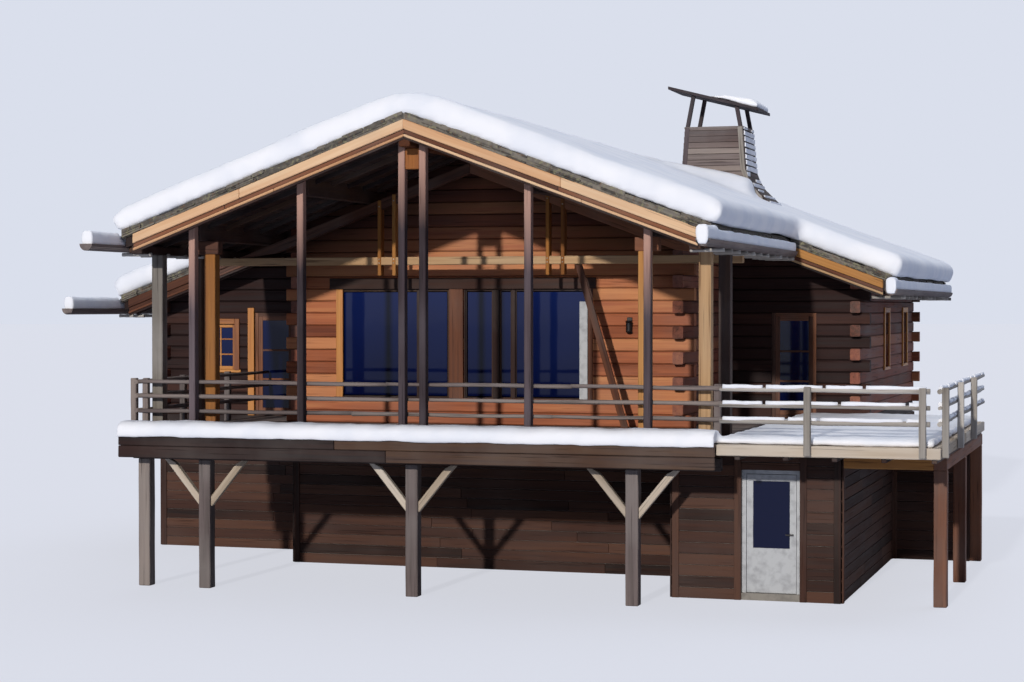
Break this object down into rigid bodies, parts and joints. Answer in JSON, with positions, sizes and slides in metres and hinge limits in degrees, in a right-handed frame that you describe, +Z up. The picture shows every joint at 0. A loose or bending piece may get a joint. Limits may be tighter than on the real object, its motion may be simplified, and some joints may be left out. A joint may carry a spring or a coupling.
{
  "type": "alpine chalet",
  "caption": "Squared-log alpine chalet on a boarded lower storey, with a gabled veranda, side terrace, snow-covered stone roof and a boarded chimney.",
  "frame": {"origin": "on the ground under the ridge, halfway along the house body, on the underside of the ground floor", "axes": "+X to the right seen from the front, +Y from the veranda into the house along the ridge, +Z up"},
  "size_m": [17.6432, 19.28, 10.063],
  "materials": {
    "floor_stone": "cast floor",
    "log_wood": "reddish squared logs",
    "board_wood": "brown boards",
    "dark_wood": "dark stained",
    "tan_wood": "honey tan boards",
    "post_wood": "orange tan posts",
    "grey_wood": "weathered",
    "pale_wood": "bleached",
    "window_wood": "varnished",
    "door_paint": "light grey paint",
    "window_glass": "double glazing",
    "roof_stone": "split stone slabs",
    "snow": "fresh snow",
    "dark_iron": "dark grey iron"
  },
  "bodies": {
    "root": {"ground_floor": "floor_stone", "lower_side_walls": "board_wood", "lower_rear_wall": "board_wood", "lower_front_walls": "board_wood", "annex_wall_left": "board_wood", "annex_wall_right": "board_wood", "annex_lintel": "board_wood", "annex_door_frame": "door_paint", "bay_frame": "board_wood", "upper_floor": "dark_wood", "facade_logs": "log_wood", "facade_piers": "log_wood", "hall_side_logs": "log_wood", "wing_front_logs": "log_wood", "wing_side_logs": "log_wood", "rear_wall_logs": "log_wood", "window_frames": "window_wood", "window_glass": "window_glass", "terrace_door": "window_glass", "support_posts": "pale_wood", "support_braces": "pale_wood", "deck_bearers": "dark_wood", "deck_joists": "dark_wood", "deck_boards": "grey_wood", "deck_edge_beams": "dark_wood", "terrace_boards": "pale_wood", "deck_railing": "grey_wood", "terrace_railing": "grey_wood", "front_posts": "grey_wood", "thick_posts": "post_wood", "purlins": "dark_wood", "roof_truss": "tan_wood", "leaning_plank": "pale_wood", "wall_lamp": "dark_iron", "roof_boards_left": "dark_wood", "roof_boards_right": "dark_wood", "verge_boards": "tan_wood", "stone_slabs_left": "roof_stone", "stone_slabs_right": "roof_stone", "snow_left": "snow", "snow_right": "snow", "gutters": "grey_wood", "gutter_snow": "snow", "deck_snow": "snow", "chimney_stack": "grey_wood", "chimney_posts": "grey_wood", "chimney_lid": "grey_wood", "chimney_snow": "snow"},
    "annex_door_leaf": {"annex_door": "door_paint", "annex_door_glass": "window_glass", "annex_door_handle": "dark_iron"}
  },
  "joints": [
    {"name": "annex_door_hinge", "type": "hinge", "parent": "root", "child": "annex_door_leaf", "pos_m": [5.57, -9.144, 1], "axis": [0, 0, 1], "range_deg": [0, 95]}
  ]
}
